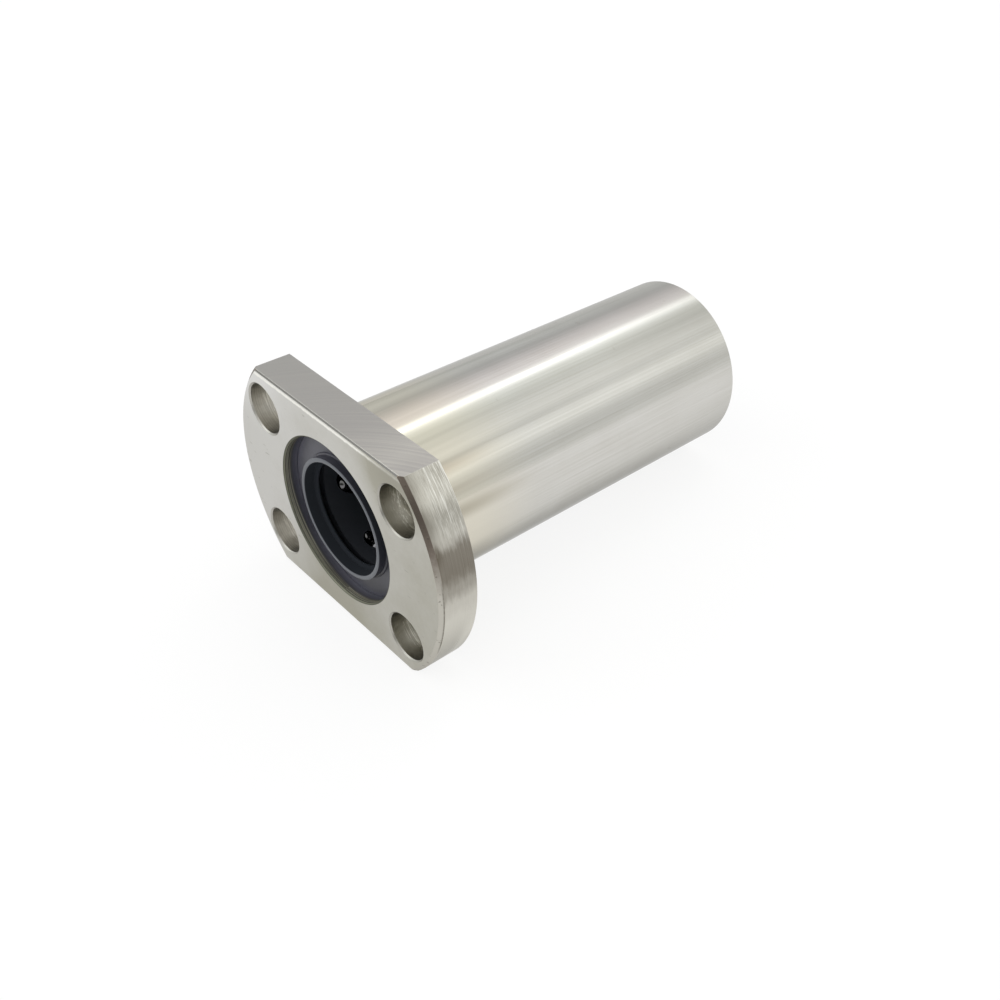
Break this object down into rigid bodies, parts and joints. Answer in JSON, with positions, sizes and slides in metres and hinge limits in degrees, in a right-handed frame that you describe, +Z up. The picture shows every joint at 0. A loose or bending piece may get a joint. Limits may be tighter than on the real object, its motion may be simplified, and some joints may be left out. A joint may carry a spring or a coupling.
{
  "type": "flanged linear bearing",
  "caption": "Long linear ball bearing with a two-flat end flange, counterbored screw holes, rubber end seals and recirculating ball circuits in resin cages.",
  "frame": {"origin": "on the bearing's axis, in the plane of the flange's mounting face, the side that the barrel leaves", "axes": "+Y along the bearing's axis towards the barrel's free end, +X along the flange's long direction, +Z up through the flange's upper flat"},
  "size_m": [0.048, 0.07, 0.034],
  "materials": {
    "plated_steel": "satin nickel-plated steel",
    "steel_balls": "polished bearing steel",
    "resin_cage": "moulded black resin",
    "seal_rubber": "matt black nitrile rubber",
    "spring_steel": "bright spring steel"
  },
  "bodies": {
    "sleeve": {"flanged_sleeve": "plated_steel", "front_cage": "resin_cage", "front_retaining_ring": "spring_steel", "front_seal": "seal_rubber", "rear_cage": "resin_cage", "rear_retaining_ring": "spring_steel", "rear_seal": "seal_rubber"},
    "front_load_balls": {"front_load_balls_1": "steel_balls", "front_load_balls_2": "steel_balls", "front_load_balls_3": "steel_balls", "front_load_balls_4": "steel_balls", "front_load_balls_5": "steel_balls"},
    "front_return_balls": {"front_return_balls_1": "steel_balls", "front_return_balls_2": "steel_balls", "front_return_balls_3": "steel_balls", "front_return_balls_4": "steel_balls", "front_return_balls_5": "steel_balls"},
    "front_outer_turn_balls_1": {"front_outer_turn_balls_1": "steel_balls"},
    "front_inner_turn_balls_1": {"front_inner_turn_balls_1": "steel_balls"},
    "front_outer_turn_balls_2": {"front_outer_turn_balls_2": "steel_balls"},
    "front_inner_turn_balls_2": {"front_inner_turn_balls_2": "steel_balls"},
    "front_outer_turn_balls_3": {"front_outer_turn_balls_3": "steel_balls"},
    "front_inner_turn_balls_3": {"front_inner_turn_balls_3": "steel_balls"},
    "front_outer_turn_balls_4": {"front_outer_turn_balls_4": "steel_balls"},
    "front_inner_turn_balls_4": {"front_inner_turn_balls_4": "steel_balls"},
    "front_outer_turn_balls_5": {"front_outer_turn_balls_5": "steel_balls"},
    "front_inner_turn_balls_5": {"front_inner_turn_balls_5": "steel_balls"},
    "rear_load_balls": {"rear_load_balls_1": "steel_balls", "rear_load_balls_2": "steel_balls", "rear_load_balls_3": "steel_balls", "rear_load_balls_4": "steel_balls", "rear_load_balls_5": "steel_balls"},
    "rear_return_balls": {"rear_return_balls_1": "steel_balls", "rear_return_balls_2": "steel_balls", "rear_return_balls_3": "steel_balls", "rear_return_balls_4": "steel_balls", "rear_return_balls_5": "steel_balls"},
    "rear_outer_turn_balls_1": {"rear_outer_turn_balls_1": "steel_balls"},
    "rear_inner_turn_balls_1": {"rear_inner_turn_balls_1": "steel_balls"},
    "rear_outer_turn_balls_2": {"rear_outer_turn_balls_2": "steel_balls"},
    "rear_inner_turn_balls_2": {"rear_inner_turn_balls_2": "steel_balls"},
    "rear_outer_turn_balls_3": {"rear_outer_turn_balls_3": "steel_balls"},
    "rear_inner_turn_balls_3": {"rear_inner_turn_balls_3": "steel_balls"},
    "rear_outer_turn_balls_4": {"rear_outer_turn_balls_4": "steel_balls"},
    "rear_inner_turn_balls_4": {"rear_inner_turn_balls_4": "steel_balls"},
    "rear_outer_turn_balls_5": {"rear_outer_turn_balls_5": "steel_balls"},
    "rear_inner_turn_balls_5": {"rear_inner_turn_balls_5": "steel_balls"}
  },
  "joints": [
    {"name": "front_load_balls_travel", "type": "slide", "parent": "sleeve", "child": "front_load_balls", "axis": [0, 1, 0], "range_m": [-0.0008, 0.0008]},
    {"name": "front_return_balls_travel", "type": "slide", "parent": "sleeve", "child": "front_return_balls", "axis": [0, 1, 0], "range_m": [-0.0008, 0.0008]},
    {"name": "front_outer_turn_balls_1_roll", "type": "hinge", "parent": "sleeve", "child": "front_outer_turn_balls_1", "pos_m": [-0.00976, 0.00369, -0.00027], "axis": [0.9736, 0, 0.2284], "range_deg": [-17.68, 17.68]},
    {"name": "front_inner_turn_balls_1_roll", "type": "hinge", "parent": "sleeve", "child": "front_inner_turn_balls_1", "pos_m": [-0.00976, 0.02269, -0.00027], "axis": [0.9736, 0, 0.2284], "range_deg": [-17.68, 17.68]},
    {"name": "front_outer_turn_balls_2_roll", "type": "hinge", "parent": "sleeve", "child": "front_outer_turn_balls_2", "pos_m": [-0.00328, 0.00369, 0.0092], "axis": [0.5181, 0, -0.8553], "range_deg": [-17.68, 17.68]},
    {"name": "front_inner_turn_balls_2_roll", "type": "hinge", "parent": "sleeve", "child": "front_inner_turn_balls_2", "pos_m": [-0.00328, 0.02269, 0.0092], "axis": [0.5181, 0, -0.8553], "range_deg": [-17.68, 17.68]},
    {"name": "front_outer_turn_balls_3_roll", "type": "hinge", "parent": "sleeve", "child": "front_outer_turn_balls_3", "pos_m": [0.00774, 0.00369, 0.00596], "axis": [-0.6534, 0, -0.757], "range_deg": [-17.68, 17.68]},
    {"name": "front_inner_turn_balls_3_roll", "type": "hinge", "parent": "sleeve", "child": "front_inner_turn_balls_3", "pos_m": [0.00774, 0.02269, 0.00596], "axis": [-0.6534, 0, -0.757], "range_deg": [-17.68, 17.68]},
    {"name": "front_outer_turn_balls_4_roll", "type": "hinge", "parent": "sleeve", "child": "front_outer_turn_balls_4", "pos_m": [0.00806, 0.00369, -0.00552], "axis": [-0.9219, 0, 0.3874], "range_deg": [-17.68, 17.68]},
    {"name": "front_inner_turn_balls_4_roll", "type": "hinge", "parent": "sleeve", "child": "front_inner_turn_balls_4", "pos_m": [0.00806, 0.02269, -0.00552], "axis": [-0.9219, 0, 0.3874], "range_deg": [-17.68, 17.68]},
    {"name": "front_outer_turn_balls_5_roll", "type": "hinge", "parent": "sleeve", "child": "front_outer_turn_balls_5", "pos_m": [-0.00276, 0.00369, -0.00937], "axis": [0.0836, 0, 0.9965], "range_deg": [-17.68, 17.68]},
    {"name": "front_inner_turn_balls_5_roll", "type": "hinge", "parent": "sleeve", "child": "front_inner_turn_balls_5", "pos_m": [-0.00276, 0.02269, -0.00937], "axis": [0.0836, 0, 0.9965], "range_deg": [-17.68, 17.68]},
    {"name": "rear_load_balls_travel", "type": "slide", "parent": "sleeve", "child": "rear_load_balls", "axis": [0, 1, 0], "range_m": [-0.0008, 0.0008]},
    {"name": "rear_return_balls_travel", "type": "slide", "parent": "sleeve", "child": "rear_return_balls", "axis": [0, 1, 0], "range_m": [-0.0008, 0.0008]},
    {"name": "rear_outer_turn_balls_1_roll", "type": "hinge", "parent": "sleeve", "child": "rear_outer_turn_balls_1", "pos_m": [-0.00976, 0.05431, -0.00027], "axis": [0.9736, 0, 0.2284], "range_deg": [-17.68, 17.68]},
    {"name": "rear_inner_turn_balls_1_roll", "type": "hinge", "parent": "sleeve", "child": "rear_inner_turn_balls_1", "pos_m": [-0.00976, 0.03531, -0.00027], "axis": [0.9736, 0, 0.2284], "range_deg": [-17.68, 17.68]},
    {"name": "rear_outer_turn_balls_2_roll", "type": "hinge", "parent": "sleeve", "child": "rear_outer_turn_balls_2", "pos_m": [-0.00328, 0.05431, 0.0092], "axis": [0.5181, 0, -0.8553], "range_deg": [-17.68, 17.68]},
    {"name": "rear_inner_turn_balls_2_roll", "type": "hinge", "parent": "sleeve", "child": "rear_inner_turn_balls_2", "pos_m": [-0.00328, 0.03531, 0.0092], "axis": [0.5181, 0, -0.8553], "range_deg": [-17.68, 17.68]},
    {"name": "rear_outer_turn_balls_3_roll", "type": "hinge", "parent": "sleeve", "child": "rear_outer_turn_balls_3", "pos_m": [0.00774, 0.05431, 0.00596], "axis": [-0.6534, 0, -0.757], "range_deg": [-17.68, 17.68]},
    {"name": "rear_inner_turn_balls_3_roll", "type": "hinge", "parent": "sleeve", "child": "rear_inner_turn_balls_3", "pos_m": [0.00774, 0.03531, 0.00596], "axis": [-0.6534, 0, -0.757], "range_deg": [-17.68, 17.68]},
    {"name": "rear_outer_turn_balls_4_roll", "type": "hinge", "parent": "sleeve", "child": "rear_outer_turn_balls_4", "pos_m": [0.00806, 0.05431, -0.00552], "axis": [-0.9219, 0, 0.3874], "range_deg": [-17.68, 17.68]},
    {"name": "rear_inner_turn_balls_4_roll", "type": "hinge", "parent": "sleeve", "child": "rear_inner_turn_balls_4", "pos_m": [0.00806, 0.03531, -0.00552], "axis": [-0.9219, 0, 0.3874], "range_deg": [-17.68, 17.68]},
    {"name": "rear_outer_turn_balls_5_roll", "type": "hinge", "parent": "sleeve", "child": "rear_outer_turn_balls_5", "pos_m": [-0.00276, 0.05431, -0.00937], "axis": [0.0836, 0, 0.9965], "range_deg": [-17.68, 17.68]},
    {"name": "rear_inner_turn_balls_5_roll", "type": "hinge", "parent": "sleeve", "child": "rear_inner_turn_balls_5", "pos_m": [-0.00276, 0.03531, -0.00937], "axis": [0.0836, 0, 0.9965], "range_deg": [-17.68, 17.68]}
  ],
  "couplings": [
    {"joint": "front_return_balls_travel", "follows": "front_load_balls_travel", "ratio": -1},
    {"joint": "front_outer_turn_balls_1_roll", "follows": "front_load_balls_travel", "rad_per_m": 384.62},
    {"joint": "front_inner_turn_balls_1_roll", "follows": "front_load_balls_travel", "rad_per_m": 384.62},
    {"joint": "front_outer_turn_balls_2_roll", "follows": "front_load_balls_travel", "rad_per_m": 384.62},
    {"joint": "front_inner_turn_balls_2_roll", "follows": "front_load_balls_travel", "rad_per_m": 384.62},
    {"joint": "front_outer_turn_balls_3_roll", "follows": "front_load_balls_travel", "rad_per_m": 384.62},
    {"joint": "front_inner_turn_balls_3_roll", "follows": "front_load_balls_travel", "rad_per_m": 384.62},
    {"joint": "front_outer_turn_balls_4_roll", "follows": "front_load_balls_travel", "rad_per_m": 384.62},
    {"joint": "front_inner_turn_balls_4_roll", "follows": "front_load_balls_travel", "rad_per_m": 384.62},
    {"joint": "front_outer_turn_balls_5_roll", "follows": "front_load_balls_travel", "rad_per_m": 384.62},
    {"joint": "front_inner_turn_balls_5_roll", "follows": "front_load_balls_travel", "rad_per_m": 384.62},
    {"joint": "rear_load_balls_travel", "follows": "front_load_balls_travel", "ratio": 1},
    {"joint": "rear_return_balls_travel", "follows": "front_load_balls_travel", "ratio": -1},
    {"joint": "rear_outer_turn_balls_1_roll", "follows": "front_load_balls_travel", "rad_per_m": 384.62},
    {"joint": "rear_inner_turn_balls_1_roll", "follows": "front_load_balls_travel", "rad_per_m": 384.62},
    {"joint": "rear_outer_turn_balls_2_roll", "follows": "front_load_balls_travel", "rad_per_m": 384.62},
    {"joint": "rear_inner_turn_balls_2_roll", "follows": "front_load_balls_travel", "rad_per_m": 384.62},
    {"joint": "rear_outer_turn_balls_3_roll", "follows": "front_load_balls_travel", "rad_per_m": 384.62},
    {"joint": "rear_inner_turn_balls_3_roll", "follows": "front_load_balls_travel", "rad_per_m": 384.62},
    {"joint": "rear_outer_turn_balls_4_roll", "follows": "front_load_balls_travel", "rad_per_m": 384.62},
    {"joint": "rear_inner_turn_balls_4_roll", "follows": "front_load_balls_travel", "rad_per_m": 384.62},
    {"joint": "rear_outer_turn_balls_5_roll", "follows": "front_load_balls_travel", "rad_per_m": 384.62},
    {"joint": "rear_inner_turn_balls_5_roll", "follows": "front_load_balls_travel", "rad_per_m": 384.62}
  ]
}
